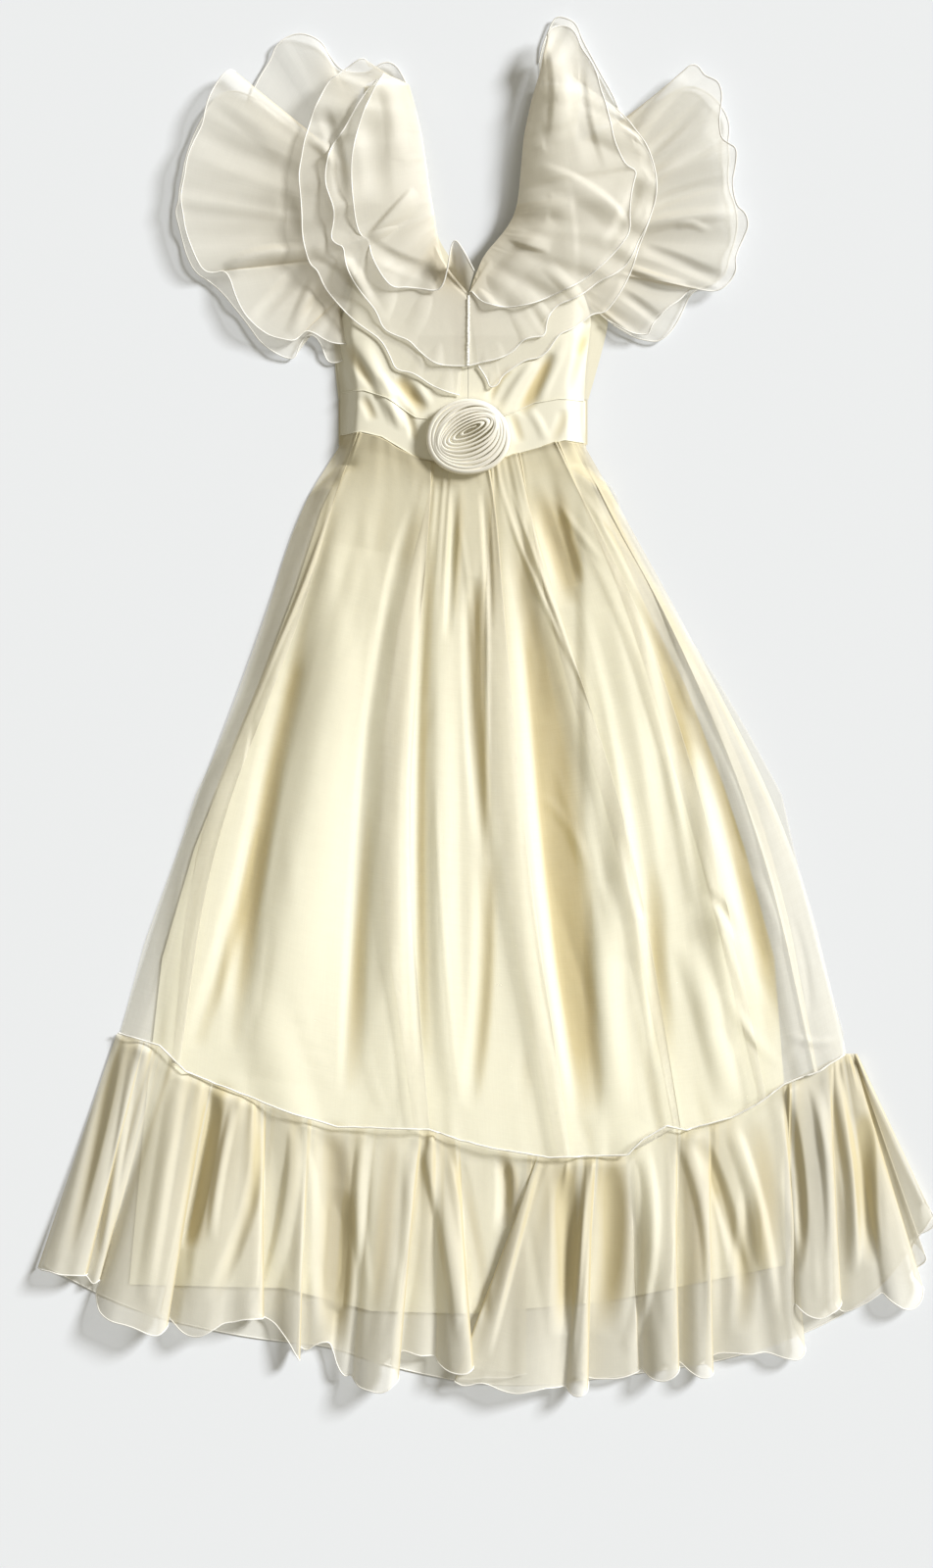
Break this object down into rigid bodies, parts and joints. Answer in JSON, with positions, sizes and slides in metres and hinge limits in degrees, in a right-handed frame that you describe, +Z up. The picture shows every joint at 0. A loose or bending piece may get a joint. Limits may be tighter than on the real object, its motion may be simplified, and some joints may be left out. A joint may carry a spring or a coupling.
{
  "type": "prom dress",
  "caption": "Floor-length prom dress of sheer ivory organza over a pale lining, with tiered neck ruffles, flutter sleeves, satin bodice, waist rosette and hem flounce, laid flat.",
  "frame": {"origin": "centre of the laid dress's extent, on the surface it lies on", "axes": "+Y from the hem towards the neck, +Z up from the surface through the front of the dress, +X to the viewer's right as seen from above"},
  "size_m": [1.0492, 1.609, 0.0501],
  "materials": {
    "organza": "sheer crisp ivory organza with a faint sheen",
    "lining": "smooth pale cream lining",
    "satin": "ivory satin with a soft sheen"
  },
  "bodies": {
    "root": {"overskirt_front": "organza", "overskirt_back": "organza", "flounce_front": "organza", "flounce_back": "organza", "neck_ruffle_left_upper": "organza", "neck_ruffle_left_middle": "organza", "neck_ruffle_left_lower": "organza", "neck_ruffle_right_upper": "organza", "neck_ruffle_right_middle": "organza", "neck_ruffle_right_lower": "organza", "flutter_left_upper": "organza", "flutter_left_lower": "organza", "flutter_right_upper": "organza", "flutter_right_lower": "organza", "back_ruffle_left": "organza", "back_ruffle_right": "organza", "rosette": "organza", "lining_front": "lining", "lining_back": "lining", "bodice_front_right": "satin", "bodice_front_left": "satin", "bodice_back_right": "satin", "bodice_back_left": "satin", "midriff_front": "satin", "midriff_back": "satin"}
  },
  "joints": []
}
